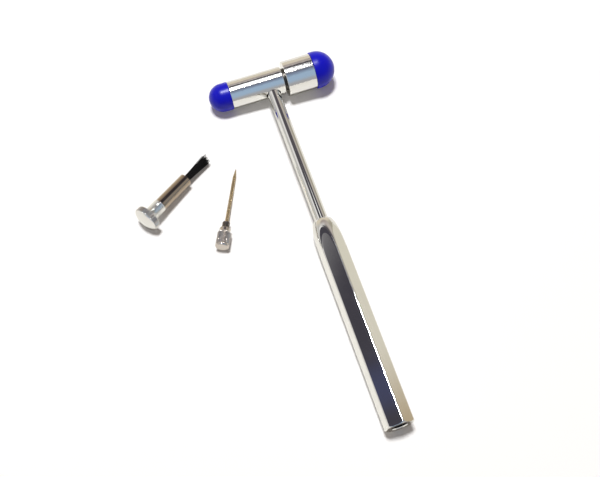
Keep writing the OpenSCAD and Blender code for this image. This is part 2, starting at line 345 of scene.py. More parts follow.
def finished(name, mesh, place, material, body, slot, *nodes, sharp=35, inner=None, inside=None):
    """Puts a mesh in its place, smooths it, hangs it on its body and hides the CAD nodes it stands for.
    Faces that inside picks by their middle, before placing, take the inner material. The slot is not used."""
    mesh.materials.clear()
    mesh.materials.append(material)
    if inner:
        mesh.materials.append(inner)
    for face in mesh.polygons:
        face.material_index = int(bool(inner and inside(face.center)))
    mesh.transform(place)
    mesh.polygons.foreach_set("use_smooth", [True] * len(mesh.polygons))
    mesh.set_sharp_from_angle(angle=math.radians(sharp))
    mesh.name = name
    piece = linked(name, mesh)
    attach(piece, body)
    if nodes:
        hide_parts(*nodes)


def new_tree(name, kind, inputs, outputs):
    """A node tree, functions to add and join its nodes, and its input and output sockets."""
    tree = bpy.data.node_groups.new(name, kind)
    for label, sort, value in inputs:
        socket = tree.interface.new_socket(label, in_out="INPUT", socket_type="NodeSocket" + sort)
        if value is not None:
            socket.default_value = value
    for label, sort in outputs:
        tree.interface.new_socket(label, in_out="OUTPUT", socket_type="NodeSocket" + sort)
    add, join = node_maker(tree)
    return tree, add, join, add("NodeGroupInput").outputs, add("NodeGroupOutput").inputs


def wear_group():
    """Roughness and fine relief of a polished surface: faint wipe marks and handling smears."""
    group, add, join, given, result = new_tree("polish_marks", "ShaderNodeTree", (
        ("Roughness", "Float", 0.08),
        ("Smear", "Float", 0.05),
        ("Wipe", "Float", 0.02),
        ("Ripple size", "Float", 2600.0),
    ), (("Roughness", "Float"), ("Height", "Float")))
    maths = maths_for(add, join)
    where = add("ShaderNodeTexCoord").outputs["Object"]
    smear = add("ShaderNodeTexNoise", Scale=120.0, Detail=4.0, Roughness=0.6)
    wipes = add("ShaderNodeTexNoise", Detail=2.0)
    spread = add("ShaderNodeMapRange", From_Min=0.45, From_Max=0.75)
    join(where, smear.inputs["Vector"])
    join(where, wipes.inputs["Vector"])
    join(given["Ripple size"], wipes.inputs["Scale"])
    join(smear.outputs["Fac"], spread.inputs["Value"])
    join(given["Smear"], spread.inputs["To Max"])
    smeared = maths("ADD", given["Roughness"], spread.outputs["Result"])
    wiped = maths("MULTIPLY", wipes.outputs["Fac"], given["Wipe"])
    join(maths("ADD", smeared, wiped), result["Roughness"])
    join(wipes.outputs["Fac"], result["Height"])
    return group


polish_marks = wear_group()


def polished_metal(name, colour, roughness, smear=0.05, wipe=0.02, ripple=(2600, 0.02)):
    """A polished or plated metal. The ripple is how fine and how strong its surface waves are."""
    made, add, join = new_material(name)
    metal = add("ShaderNodeBsdfPrincipled", Base_Color=(*colour, 1), Metallic=1.0)
    marks = add("ShaderNodeGroup", {"node_tree": polish_marks}, Roughness=roughness, Smear=smear)
    marks.inputs["Wipe"].default_value = wipe
    marks.inputs["Ripple size"].default_value = ripple[0]
    bump = add("ShaderNodeBump", Strength=ripple[1], Distance=0.04 * mm)
    out = add("ShaderNodeOutputMaterial")
    join(marks.outputs["Roughness"], metal.inputs["Roughness"])
    join(marks.outputs["Height"], bump.inputs["Height"])
    join(bump.outputs["Normal"], metal.inputs["Normal"])
    join(metal.outputs[0], out.inputs["Surface"])
    return made


chrome_plate = polished_metal("chrome_plate", (0.83, 0.83, 0.82), 0.035)
rippled_chrome = polished_metal("rippled_chrome", (0.83, 0.83, 0.82), 0.035, ripple=(1100, 1.0))
# Painted shade: a dark copy of the plating for the groove beside the collar and the countersink round the shaft,
# where shade falls.
recess_painted_shade = polished_metal("recess_painted_shade", (0.07, 0.065, 0.06), 0.35)

barrel_low, barrel_high = reach("head_barrel", head_place)
collar_low, collar_high = reach("head_collar", head_place)
barrel_r = barrel_high[1]
barrel_end = barrel_low[0]
collar_start, collar_end = collar_low[0], collar_high[0]
groove_width = 1.2 * mm
groove_r = barrel_r - 1.3 * mm
spigot_r = 4 * mm
spigot_end = barrel_high[0]
edge = 0.3 * mm
broken = 0.05 * mm
barrel = turned_mesh("head_barrel_turned", eased([
    (barrel_end, 0),
    (barrel_end, barrel_r, edge),
    (collar_start - groove_width, barrel_r, edge),
    (collar_start - groove_width, groove_r, 0.2 * mm),
    (collar_start, groove_r, broken),
    (collar_start, spigot_r, broken),
    (spigot_end, spigot_r, 0.2 * mm),
    (spigot_end, 0),
]), around=192)


def baked(worked):
    """The plain mesh that an object's modifiers make."""
    depsgraph = bpy.context.evaluated_depsgraph_get()
    return bpy.data.meshes.new_from_object(worked.evaluated_get(depsgraph), depsgraph=depsgraph)


def cut(mesh, cutters):
    """A mesh with other closed meshes cut out of it."""
    block = linked("block", mesh)
    tools = [linked("cutter", cutter) for cutter in cutters]
    for tool in tools:
        step = block.modifiers.new("cut", "BOOLEAN")
        step.operation = "DIFFERENCE"
        step.solver = "EXACT"
        step.object = tool
    made = baked(block)
    for used in (block, *tools):
        bpy.data.objects.remove(used)
    return made


socket_r = mounts["needle_socket"]["dims"]["r_mm"] * mm
socket_length = mounts["needle_socket"]["dims"]["length_mm"] * mm
spot_r = 2.7 * mm
spot_y = math.sqrt(barrel_r ** 2 - spot_r ** 2)
spot_chamfer = 0.35 * mm
channel_r = 1.2 * mm
shaft_low, shaft_high = reach("shaft_rod", head_place)
shaft_r = shaft_high[0]
shaft_top = shaft_high[1]
shaft_spigot_r = 2.2 * mm
seat_y = -barrel_r + 1.4 * mm
sink_y = -barrel_r + 0.55 * mm
sink_width = 1.5 * mm
stem_length = 6.5 * mm
stem_r = 3.8 * mm
stem_gap = 0.05 * mm
fit_gap = 0.02 * mm
blind_gap = 0.3 * mm
overrun = 1 * mm
up_the_shaft = Matrix.Rotation(math.radians(90), 4, "Z")
needle_cutter = turned_mesh("needle_cutter", [
    (shaft_top, 0),
    (shaft_top, channel_r),
    (spot_y - socket_length, channel_r),
    (spot_y - socket_length, socket_r),
    (spot_y - spot_chamfer, socket_r),
    (spot_y, socket_r + spot_chamfer),
    (spot_y, spot_r),
    (barrel_r + overrun, spot_r),
    (barrel_r + overrun, 0),
], around=72)
needle_cutter.transform(up_the_shaft)
shaft_cutter = turned_mesh("shaft_cutter", [
    (-barrel_r - overrun, 0),
    (-barrel_r - overrun, shaft_r + sink_width),
    (sink_y, shaft_r + fit_gap),
    (seat_y, shaft_r + fit_gap),
    (seat_y, shaft_spigot_r + fit_gap),
    (shaft_top + blind_gap, shaft_spigot_r + fit_gap),
    (shaft_top + blind_gap, 0),
], around=96)
shaft_cutter.transform(up_the_shaft)
stem_cutter = turned_mesh("stem_cutter", [
    (barrel_end - overrun, 0),
    (barrel_end - overrun, stem_r + stem_gap),
    (barrel_end + stem_length + blind_gap, stem_r + stem_gap),
    (barrel_end + stem_length + blind_gap, 0),
], around=96)
barrel = cut(barrel, [needle_cutter, shaft_cutter, stem_cutter])


def in_shaded_recess(middle):
    """The groove beside the collar, and the small countersink round the shaft, which take the painted shade."""
    out = middle.yz.length
    groove = middle.x > collar_start - groove_width and out < groove_r + 0.1 * mm
    near_shaft = middle.y < 0 and middle.xz.length < shaft_r + 0.6 * mm
    return groove or (near_shaft and out < barrel_r - 0.03 * mm)


finished(
    "head_barrel_turned",
    barrel,
    head_place,
    rippled_chrome,
    "hammer",
    "chrome_plate",
    "head_barrel",
    inner=recess_painted_shade,
    inside=in_shaded_recess,
)

# Head collar. A heavier ring of the same steel, pressed on the barrel's spigot and plated
# with it. Its open end takes the large bumper's stem.
collar_r = collar_high[1]
large_stem_r = 5 * mm
large_stem_length = 7 * mm
collar_bottom = collar_end - large_stem_length - blind_gap
collar = turned_mesh("head_collar_turned", eased([
    (collar_start, spigot_r + fit_gap, broken),
    (collar_start, collar_r, edge),
    (collar_end, collar_r, edge),
    (collar_end, large_stem_r + stem_gap, 0.1 * mm),
    (collar_bottom, large_stem_r + stem_gap, broken),
    (collar_bottom, spigot_r + fit_gap, broken),
], closed=True), around=192, closed=True)
finished("head_collar_turned", collar, head_place, rippled_chrome, "hammer", "chrome_plate", "head_collar")


# Bumpers. Solid blue rubber, moulded to a dome on a short skirt, with a stem on the back that
# is pushed into the head. The mould leaves a fine matt skin.
def mottled(name, first, second, cloud, **skin):
    """A material of two close tones mixed by a noise, and what it takes to add to it."""
    made, add, join = new_material(name)
    where = add("ShaderNodeTexCoord").outputs["Object"]
    noise = add("ShaderNodeTexNoise", **cloud)
    tone = add("ShaderNodeMix", {"data_type": "RGBA"})
    tone.inputs[6].default_value = (*first, 1)
    tone.inputs[7].default_value = (*second, 1)
    shade = add("ShaderNodeBsdfPrincipled", **skin)
    out = add("ShaderNodeOutputMaterial")
    join(where, noise.inputs["Vector"])
    join(noise.outputs["Fac"], tone.inputs["Factor"])
    join(tone.outputs[2], shade.inputs["Base Color"])
    join(shade.outputs[0], out.inputs["Surface"])
    return made, add, join, where, noise, shade


def blue_rubber_material():
    """Rubber with a fine matt skin, a little uneven in its tone and its gloss."""
    made, add, join, where, cloud, rubber = mottled(
        "blue_rubber",
        (0.001, 0.001, 0.44),
        (0.003, 0.003, 0.54),
        {"Scale": 180.0, "Detail": 5.0, "Roughness": 0.6},
        Specular_IOR_Level=0.3,
        IOR=1.5,
    )
    grain = add("ShaderNodeTexNoise", Scale=9000.0, Detail=2.0)
    gloss = add("ShaderNodeMapRange", To_Min=0.27, To_Max=0.36)
    bump = add("ShaderNodeBump", Strength=0.25, Distance=0.02 * mm)
    join(cloud.outputs["Fac"], gloss.inputs["Value"])
    join(gloss.outputs["Result"], rubber.inputs["Roughness"])
    join(where, grain.inputs["Vector"])
    join(grain.outputs["Fac"], bump.inputs["Height"])
    join(bump.outputs["Normal"], rubber.inputs["Normal"])
    return made


blue_rubber = blue_rubber_material()


def bumper(name, node, seat, outward, stem_radius, stem_reach):
    """A domed bumper on the seat, facing along the head's axis or, at -1, the other way."""
    low, high = reach(node, head_place)
    radius = high[2]
    tip = high[0] - seat if outward > 0 else seat - low[0]
    skirt = tip - radius
    dome_steps = 40
    dome = [
        Vector((skirt + radius * math.sin(t), radius * math.cos(t)))
        for t in (math.pi / 2 * k / dome_steps for k in range(1, dome_steps))
    ]
    outline = eased([
        (-stem_reach, 0),
        (-stem_reach, stem_radius, 0.4 * mm),
        (0, stem_radius, broken),
        (0, radius, 0.25 * mm),
        (skirt, radius),
    ]) + dome + [Vector((tip, 0))]
    mesh = turned_mesh(name, outline, around=128)
    turn = Matrix.Rotation(0 if outward > 0 else math.pi, 4, "Z")
    place = head_place @ Matrix.Translation((seat, 0, 0)) @ turn
    body = "large_bumper" if outward > 0 else "small_bumper"
    finished(name, mesh, place, blue_rubber, body, "blue_rubber", node)


bumper("large_bumper_moulding", "bumper_large", collar_end, 1, large_stem_r, large_stem_length)
bumper("small_bumper_moulding", "bumper_small", barrel_end, -1, stem_r, stem_length)

# Shaft. A drawn steel tube, ground, polished and plated, with the needle's channel in its
# head end. It is sunk and soldered into the barrel.
channel_end = -27.29 * mm
shaft = turned_mesh("shaft_tube", eased([
    (shaft_low[1], 0),
    (shaft_low[1], shaft_r, 0.2 * mm),
    (seat_y, shaft_r, broken),
    (seat_y, shaft_spigot_r, broken),
    (shaft_top, shaft_spigot_r, 0.1 * mm),
    (shaft_top, channel_r, broken),
    (channel_end, channel_r, broken),
    (channel_end, 0),
]), around=128)
finished("shaft_tube", shaft, head_place @ up_the_shaft, chrome_plate, "hammer", "chrome_plate", "shaft_rod")


# Handle. Six-sided steel bar, turned down to a rounded shoulder where the shaft enters, so
# that each flat starts as an arch. Its open end is bored and threaded for the brush.
def outline_ridge(first, second, softness):
    """The smaller of two radii, blended softly where they meet."""
    h = max(softness - abs(first - second), 0) / softness
    return min(first, second) - h * h * softness / 4


handle_low, handle_high = reach("handle_grip", head_place)
handle_top, handle_bottom = handle_high[1], handle_low[1]
across_flats = 11.1 * mm
flat = across_flats / 2
corner_round = 0.8 * mm
corner_reach = (flat - corner_round) / math.cos(math.radians(30)) + corner_round
corner_starts = math.atan((flat - corner_round) * math.tan(math.pi / 6) / flat)
shoulder_length = 16 * mm
lip_r = shaft_r + 0.8 * mm
shaft_seat = 9.3 * mm
end_chamfer = 0.5 * mm
bore_chamfer = 0.4 * mm
bore_r = mounts["brush_socket"]["dims"]["r_mm"] * mm
thread_length = mounts["brush_socket"]["dims"]["length_mm"] * mm
deep_r = 3.05 * mm
deep_end = 38.8 * mm
handle_length = handle_top - handle_bottom


def hexagon_radius(angle):
    """Radius of the six-sided bar with polished corners, at an angle from the middle of a flat."""
    turn = abs((angle + math.pi / 6) % (math.pi / 3) - math.pi / 6)
    if turn <= corner_starts:
        return flat / math.cos(turn)
    centre = (flat - corner_round) / math.cos(math.pi / 6)
    off = math.pi / 6 - turn
    return centre * math.cos(off) + math.sqrt(corner_round ** 2 - (centre * math.sin(off)) ** 2)


def shoulder_radius(along):
    """Radius of the rounded shoulder, which ends as a quarter ellipse."""
    if along >= shoulder_length:
        return corner_reach + overrun
    part = math.acos(1 - along / shoulder_length)
    return lip_r + (corner_reach - lip_r) * math.sin(part)


def arch_start(angle):
    """How far down the handle the shoulder meets the six-sided bar, at an angle."""
    share = min(1, (hexagon_radius(angle) - lip_r) / (corner_reach - lip_r))
    return shoulder_length * (1 - math.cos(math.asin(share)))


def handle_angles():
    """Angles round the bar: close together over each corner's round, wider on the flats."""
    on_flat = [corner_starts * k / 8 for k in range(-8, 9)]
    beside_corner = corner_starts * 0.985
    corner_sweep = math.pi / 3 - 2 * corner_starts
    on_corner = [corner_starts + corner_sweep * k / 8 for k in range(1, 8)]
    one = sorted(on_flat + [-beside_corner, beside_corner] + on_corner)
    return [side * math.pi / 3 + turn for side in range(6) for turn in one]


def handle_mesh():
    """The bar with its shoulder, its chamfered end and both bores, along X from the shaft's end."""
    angles = handle_angles()
    soft = 0.12 * mm
    shoulder_rows = 22
    plain_rows = 30
    chamfer_rows = 6
    blend_run = (-1.2, -0.8, -0.5, -0.3, -0.15, 0, 0.15, 0.3, 0.5, 0.8, 1.2)
    columns = []
    for angle in angles:
        start = arch_start(angle)
        bar_r = hexagon_radius(angle)
        plain_length = handle_length - end_chamfer - start - 0.8 * mm
        eased_in = [1 - math.cos(math.pi / 2 * k / shoulder_rows) for k in range(shoulder_rows + 1)]
        rows = [start * share * 0.9 for share in eased_in]
        rows += [max(start * 0.9, start + step * mm * 0.5) for step in blend_run]
        rows += [start + 0.6 * mm + plain_length * k / plain_rows for k in range(plain_rows + 1)]
        column = [(along, outline_ridge(shoulder_radius(along), bar_r, soft)) for along in rows]
        cone = corner_reach - end_chamfer
        for k in range(chamfer_rows + 1):
            along = handle_length - end_chamfer * (1.2 - 1.2 * k / chamfer_rows)
            limit = cone + (handle_length - along)
            column.append((along, outline_ridge(bar_r, limit, soft * 0.5)))
        column[-1] = (handle_length, column[-1][1] - 0.03 * mm)
        columns.append(column)
    thread_start = handle_length - thread_length
    inner = filled(eased([
        (handle_length, bore_r + bore_chamfer),
        (handle_length - bore_chamfer, bore_r, 0.1 * mm),
        (thread_start, bore_r),
    ]), 0.1 * mm)
    inner += eased([
        (thread_start, deep_r),
        (handle_length - deep_end, deep_r, 0.1 * mm),
        (handle_length - deep_end, deep_r * 0.4),
    ])
    corners, faces = [], []
    count = len(angles)

    def ring(radius_at):
        """Adds one point per angle, each at the place along and radius that radius_at gives."""
        first = len(corners)
        for k, angle in enumerate(angles):
            along, radius = radius_at(k)
            corners.append((along, radius * math.cos(angle), radius * math.sin(angle)))
        return list(range(first, first + count))

    rings = [ring(lambda k: (shaft_seat, (shaft_r + fit_gap) * 0.5))]
    rings.append(ring(lambda k: (shaft_seat, shaft_r + fit_gap)))
    rings.append(ring(lambda k: (0, shaft_r + fit_gap)))
    rings += [ring(lambda k, row=row: columns[k][row]) for row in range(len(columns[0]))]
    rings += [ring(lambda k, p=p: (p.x, p.y)) for p in inner]
    for near, far in zip(rings, rings[1:]):
        for k in range(count):
            m = (k + 1) % count
            faces.append((near[k], near[m], far[m], far[k]))
    bottoms = ((shaft_seat, rings[0], False), (handle_length - deep_end, rings[-1], True))
    for along, last, outward in bottoms:
        tip = len(corners)
        corners.append((along, 0, 0))
        for k in range(count):
            pair = (last[k], last[(k + 1) % count])
            faces.append((*(pair if outward else pair[::-1]), tip))
    mesh = bpy.data.meshes.new("handle_bar")
    mesh.from_pydata(corners, [], faces)
    return mesh


def groove_tree():
    """A tree that presses V grooves into a turned mesh: straight, crossed, or as a thread."""
    tree, add, join, given, result = new_tree("cut_grooves", "GeometryNodeTree", (
        ("Geometry", "Geometry", None),
        ("Grooves round", "Float", 36.0),
        ("Grooves along", "Float", 0.0),
        ("Crossed", "Float", 0.0),
        ("Depth", "Float", 0.3 * mm),
        ("Flat", "Float", 0.25),
        ("Start", "Float", 0.0),
        ("End", "Float", 1 * mm),
        ("Run out", "Float", 0.2 * mm),
        ("Least radius", "Float", 0.0),
        ("Most radius", "Float", 1.0),
        ("Material", "Material", None),
    ), (("Geometry", "Geometry"),))
    maths = maths_for(add, join)
    place = add("GeometryNodeInputPosition")
    split = add("ShaderNodeSeparateXYZ")
    join(place.outputs[0], split.inputs[0])
    along, side, up = split.outputs
    radius = maths("SQRT", maths("ADD", maths("MULTIPLY", side, side), maths("MULTIPLY", up, up)))
    turns = maths("DIVIDE", maths("ARCTAN2", up, side), 2 * math.pi)
    round_phase = maths("MULTIPLY", turns, given["Grooves round"])
    along_phase = maths("MULTIPLY", along, given["Grooves along"])

    def groove(phase):
        """1 at the bottom of a V, 0 on the flat between two."""
        off = maths("ABSOLUTE", maths("SUBTRACT", maths("FRACT", maths("ADD", phase, 100.0)), 0.5))
        crest = maths("MULTIPLY", off, 2.0)
        rise = maths("DIVIDE", crest, maths("SUBTRACT", 1.0, given["Flat"]))
        return maths("SUBTRACT", 1.0, maths("MINIMUM", rise, 1.0))

    forward = groove(maths("ADD", round_phase, along_phase))
    backward = groove(maths("SUBTRACT", round_phase, along_phase))
    backward = maths("MULTIPLY", backward, given["Crossed"])
    deepest = maths("MAXIMUM", forward, backward)

    def ramp(value, low, run):
        """0 up to a place, then rising to 1 over a run."""
        node = add("ShaderNodeMapRange")
        join(value, node.inputs["Value"])
        join(low, node.inputs["From Min"])
        join(maths("ADD", low, run), node.inputs["From Max"])
        return node.outputs["Result"]

    into = ramp(along, given["Start"], given["Run out"])
    fading = maths("SUBTRACT", given["End"], given["Run out"])
    past = ramp(along, fading, given["Run out"])
    inside = maths("MULTIPLY", into, maths("SUBTRACT", 1.0, past))
    wide = maths("GREATER_THAN", radius, given["Least radius"])
    slim = maths("LESS_THAN", radius, given["Most radius"])
    chosen = maths("MULTIPLY", maths("MULTIPLY", wide, slim), inside)
    pressed = maths("MULTIPLY", maths("MULTIPLY", deepest, chosen), given["Depth"])
    share = maths("DIVIDE", pressed, maths("MAXIMUM", radius, 1e-6))
    shift = add("ShaderNodeCombineXYZ")
    join(maths("MULTIPLY", maths("MULTIPLY", side, share), -1.0), shift.inputs[1])
    join(maths("MULTIPLY", maths("MULTIPLY", up, share), -1.0), shift.inputs[2])
    move = add("GeometryNodeSetPosition")
    solid = add("GeometryNodeRealizeInstances")
    coat = add("GeometryNodeSetMaterial")
    join(given["Geometry"], move.inputs["Geometry"])
    join(shift.outputs[0], move.inputs["Offset"])
    join(move.outputs[0], solid.inputs[0])
    join(solid.outputs[0], coat.inputs["Geometry"])
    join(given["Material"], coat.inputs["Material"])
    join(coat.outputs[0], result[0])
    return tree


def grown(tree, mesh, **values):
    """The plain mesh that a tree makes of a mesh, with the tree's inputs set by name."""
    carrier = linked("carrier", mesh)
    step = carrier.modifiers.new("tree", "NODES")
    step.node_group = tree
    named = {name.replace("_", " "): value for name, value in values.items()}
    for item in tree.interface.items_tree:
        if item.item_type == "SOCKET" and item.in_out == "INPUT" and item.name in named:
            step[item.identifier] = named[item.name]
    made = baked(carrier)
    bpy.data.objects.remove(carrier)
    return made


cut_grooves = groove_tree()
# The bore is unplated steel, and its near-black colour is painted shade, standing in for the dark inside of the
# hole.
bore_painted_shade = polished_metal("bore_painted_shade", (0.05, 0.047, 0.045), 0.45)
plug_pitch = 0.75 * mm
handle_turn = math.radians(48.3)
down_the_shaft = Matrix.Rotation(math.radians(-90), 4, "Z")
handle_place = (
    head_place
    @ Matrix.Translation((0, handle_top, 0))
    @ down_the_shaft
    @ Matrix.Rotation(handle_turn, 4, "X")
)
handle = grown(
    cut_grooves,
    handle_mesh(),
    Grooves_round=1.0,
    Grooves_along=1 / plug_pitch,
    Depth=0.3 * mm,
    Flat=0.15,
    Start=handle_length - thread_length + 0.6 * mm,
    End=handle_length - 0.3 * mm,
    Run_out=0.5 * mm,
    Most_radius=bore_r + 0.1 * mm,
    Material=chrome_plate,
)


def in_bore(middle):
    """The threaded bore at the open end, and the plain bore behind it, which take the painted shade."""
    return middle.x > shoulder_length and middle.yz.length < bore_r + 0.05 * mm


finished(
    "handle_bar",
    handle,
    handle_place,
    chrome_plate,
    "hammer",
    "chrome_plate",
    "handle_grip",
    inner=bore_painted_shade,
    inside=in_bore,
)


# Needle knob. A small steel turning, knurled so that it can be unscrewed with the fingers,
# with a shoulder that seats on the head and a short fine thread. It is plated like the head,
# and handling has dulled it. Its knurl's grooves and its thread carry painted shade.
def ring_middle(points, along):
    """The middle of a ring of points across a direction."""
    across = np.cross(along, (0.3, 0.2, 1.0))
    across /= np.linalg.norm(across)
    other = np.cross(along, across)
    middle = points.mean(axis=0)
    for line in (across, other):
        run = (points - middle) @ line
        middle = middle + line * (run.min() + run.max()) / 2
    return middle


def centre_line(node, towards):
    """A unit vector along a turned CAD node, towards another node, and a point on its axis."""
    points = points_of(node)
    along = np.linalg.svd(points - points.mean(axis=0), full_matrices=False)[2][0]
    for _ in range(3):
        run = points @ along
        first = ring_middle(points[run < run.min() + 0.06 * mm], along)
        last = ring_middle(points[run > run.max() - 0.06 * mm], along)
        along = (last - first) / np.linalg.norm(last - first)
    if (points_of(towards).mean(axis=0) - points.mean(axis=0)) @ along < 0:
        along = -along
    return along, first


needle_line, on_needle = centre_line("needle_pin", "needle_knob")
needle_place = placed(-needle_line, (0, 0, 1), on_needle)
knob_low, knob_high = reach("needle_knob", needle_place)
pin_low, pin_high = reach("needle_pin", needle_place)
knob_r = knob_high[1]
knob_length = 7.5 * mm
knob_dome = 1.1 * mm
shoulder_r = 2.45 * mm
shoulder_end = 2 * mm
needle_thread_r = 1.65 * mm
needle_pitch = 0.5 * mm
needle_place = needle_place @ Matrix.Translation((knob_low[0] + knob_length, 0, 0))
knob_thread_end = knob_high[0] - knob_low[0] - knob_length
pin_start = pin_low[0] - knob_low[0] - knob_length
pin_end = pin_high[0] - knob_low[0] - knob_length
pin_r = pin_high[1]


def finer(points, spacing, start, stop):
    """Fills an outline to a spacing between two places along it, and leaves the rest alone."""
    out = [points[0]]
    for here, there in zip(points, points[1:]):
        inside = min(here.x, there.x) > start - 0.01 * mm and max(here.x, there.x) < stop + 0.01 * mm
        out += filled([here, there], spacing)[1:] if inside else [there]
    return out


knob_outline = eased([
    (-knob_length, 0),
    (-knob_length, knob_r - 0.1 * mm, 0.75 * mm),
    (-knob_length + knob_dome, knob_r, 0.3 * mm),
    (-0.45 * mm, knob_r, 0.12 * mm),
    (0.3 * mm, shoulder_r, 0.15 * mm),
    (shoulder_end, shoulder_r, 0.15 * mm),
    (shoulder_end, needle_thread_r, broken),
    (knob_thread_end, needle_thread_r, 0.12 * mm),
    (knob_thread_end, pin_r + fit_gap, broken),
    (pin_start, pin_r + fit_gap, broken),
    (pin_start, 0),
])
knob_outline = finer(knob_outline, 0.12 * mm, -knob_length + 0.9 * mm, 0)
knob_outline = finer(knob_outline, 0.05 * mm, shoulder_end, knob_thread_end)
knob = grown(
    cut_grooves,
    turned_mesh("knob_blank", knob_outline, around=240),
    Grooves_round=24.0,
    Grooves_along=24 / (2 * math.pi * knob_r),
    Crossed=1.0,
    Depth=0.24 * mm,
    Flat=0.2,
    Start=-knob_length + 1 * mm,
    End=-0.3 * mm,
    Run_out=0.25 * mm,
    Least_radius=shoulder_r + 0.2 * mm,
    Material=chrome_plate,
)
knob = grown(
    cut_grooves,
    knob,
    Grooves_round=1.0,
    Grooves_along=1 / needle_pitch,
    Depth=0.24 * mm,
    Flat=0.15,
    Start=shoulder_end + 0.1 * mm,
    End=knob_thread_end - 0.02 * mm,
    Run_out=0.2 * mm,
    Least_radius=needle_thread_r - 0.2 * mm,
    Most_radius=needle_thread_r + 0.1 * mm,
    Material=chrome_plate,
)
knob_shade_depth = 0.19 * mm
knob_plate = polished_metal("knob_plate", (0.62, 0.57, 0.53), 0.08, 0.1, 0.05)
# Painted shade: a dark copy of the plating for the knurl's groove bottoms, the cap's groove bottoms and the
# needle's thread, where shade falls.
groove_painted_shade = polished_metal("groove_painted_shade", (0.17, 0.14, 0.12), 0.3)


def in_knob_groove(middle):
    """The bottoms of the knurl's grooves, and the thread, which take the painted shade."""
    on_side = -knob_length + knob_dome < middle.x < -0.3 * mm
    deep = shoulder_r < middle.yz.length < knob_r - knob_shade_depth
    return (on_side and deep) or shoulder_end < middle.x


finished(
    "needle_knob_turned",
    knob,
    needle_place,
    knob_plate,
    "needle",
    "chrome_plate",
    "needle_knob",
    sharp=24,
    inner=groove_painted_shade,
    inside=in_knob_groove,
)

# Needle pin. Drawn steel wire pressed into the knob, ground to a point and left unplated, so
# it is warmer and less bright than the plated pieces.
needle_steel = polished_metal("needle_steel", (0.48, 0.38, 0.24), 0.2, 0.1, 0.08, (2600, 0.1))
point_length = 4.5 * mm
pin = turned_mesh("needle_pin_ground", eased([
    (pin_start, 0),
    (pin_start, pin_r, broken),
    (pin_end - point_length, pin_r, 0.3 * mm),
    (pin_end - 0.12 * mm, 0.14 * mm, 0.1 * mm),
    (pin_end, 0),
]), around=48)
finished("needle_pin_ground", pin, needle_place, needle_steel, "needle", "needle_steel", "needle_pin")

# Brush cap. A steel turning with a domed end, a knurled rim to grip, and a threaded plug that
# closes the handle. The plug's plain end is pressed into the ferrule.
brush_line, on_brush = centre_line("brush_ferrule", "brush_cap")
brush_place = placed(-brush_line, (0, 0, 1), on_brush)
cap_low, cap_high = reach("brush_cap", brush_place)
ferrule_low, ferrule_high = reach("brush_ferrule", brush_place)
bristle_low, bristle_high = reach("brush_bristles", brush_place)
cap_r = cap_high[1]
cap_dome = 1.6 * mm
cap_side = 3 * mm
cap_back = cap_low[0] + cap_dome + cap_side
cap_edge = 0.4 * mm
cap_shade_depth = 0.18 * mm
neck_end = 1.2 * mm
plug_r = 3.25 * mm
thread_rise = 0.4 * mm
brush_place = brush_place @ Matrix.Translation((cap_back, 0, 0))
ferrule_start = ferrule_low[0] - cap_back
ferrule_end = ferrule_high[0] - cap_back
plug_tip = cap_high[0] - cap_back
ferrule_r = ferrule_high[1]
ferrule_wall = 1.1 * mm
ferrule_bore = ferrule_r - ferrule_wall
dome_r = ((cap_r - cap_edge) ** 2 + cap_dome ** 2) / (2 * cap_dome)
dome_half = math.asin((cap_r - cap_edge) / dome_r)
dome_rows = 30
dome = [
    Vector((-cap_side - cap_dome + dome_r * (1 - math.cos(t)), dome_r * math.sin(t)))
    for t in (dome_half * k / dome_rows for k in range(dome_rows))
]
side = eased([
    (-cap_side - 0.15 * mm, cap_r - 0.9 * mm),
    (-cap_side, cap_r - cap_edge, 0.12 * mm),
    (-cap_side + cap_edge, cap_r, 0.15 * mm),
    (-cap_edge, cap_r, 0.15 * mm),
    (0, cap_r - cap_edge, 0.12 * mm),
    (0, plug_r - thread_rise, 0.2 * mm),
    (neck_end, plug_r - thread_rise, broken),
    (neck_end + thread_rise, plug_r, broken),
    (ferrule_start, plug_r, 0.15 * mm),
    (ferrule_start, ferrule_bore - fit_gap, broken),
    (plug_tip, ferrule_bore - fit_gap, 0.1 * mm),
    (plug_tip, 0),
])[1:]
cap_outline = finer(dome + side, 0.1 * mm, -cap_side, -0.01 * mm)
cap_outline = finer(cap_outline, 0.07 * mm, neck_end, ferrule_start)
cap = grown(
    cut_grooves,
    turned_mesh("cap_blank", cap_outline, around=288),
    Grooves_round=36.0,
    Depth=0.28 * mm,
    Flat=0.2,
    Start=-cap_side + 0.1 * mm,
    End=-0.1 * mm,
    Run_out=0.25 * mm,
    Least_radius=plug_r + 1 * mm,
    Material=chrome_plate,
)
cap = grown(
    cut_grooves,
    cap,
    Grooves_round=1.0,
    Grooves_along=1 / plug_pitch,
    Depth=0.36 * mm,
    Flat=0.15,
    Start=neck_end + 0.3 * mm,
    End=ferrule_start - 0.1 * mm,
    Run_out=0.3 * mm,
    Least_radius=plug_r - 0.3 * mm,
    Most_radius=plug_r + 0.1 * mm,
    Material=chrome_plate,
)


def in_cap_groove(middle):
    """The bottoms of the grooves in the cap's side, which take the painted shade."""
    on_side = -cap_side + 0.3 * mm < middle.x < -0.3 * mm
    return on_side and middle.yz.length < cap_r - cap_shade_depth


finished(
    "brush_cap_turned",
    cap,
    brush_place,
    chrome_plate,
    "brush",
    "chrome_plate",
    "brush_cap",
    sharp=24,
    inner=groove_painted_shade,
    inside=in_cap_groove,
)

# Ferrule. A drawn tube with a thick wall, nickel plated and pressed on the plug's plain end.
# Its mouth is turned square, with the edges just broken.
ferrule_nickel = polished_metal("ferrule_nickel", (0.43, 0.355, 0.28), 0.07, 0.08, 0.03, (2600, 0.03))
ferrule = turned_mesh("ferrule_tube", eased([
    (ferrule_start, ferrule_bore, broken),
    (ferrule_start, ferrule_r, 0.15 * mm),
    (ferrule_end, ferrule_r, 0.15 * mm),
    (ferrule_end, ferrule_bore, 0.15 * mm),
], closed=True), around=128, closed=True)
finished("ferrule_tube", ferrule, brush_place, ferrule_nickel, "brush", "ferrule_nickel", "brush_ferrule")


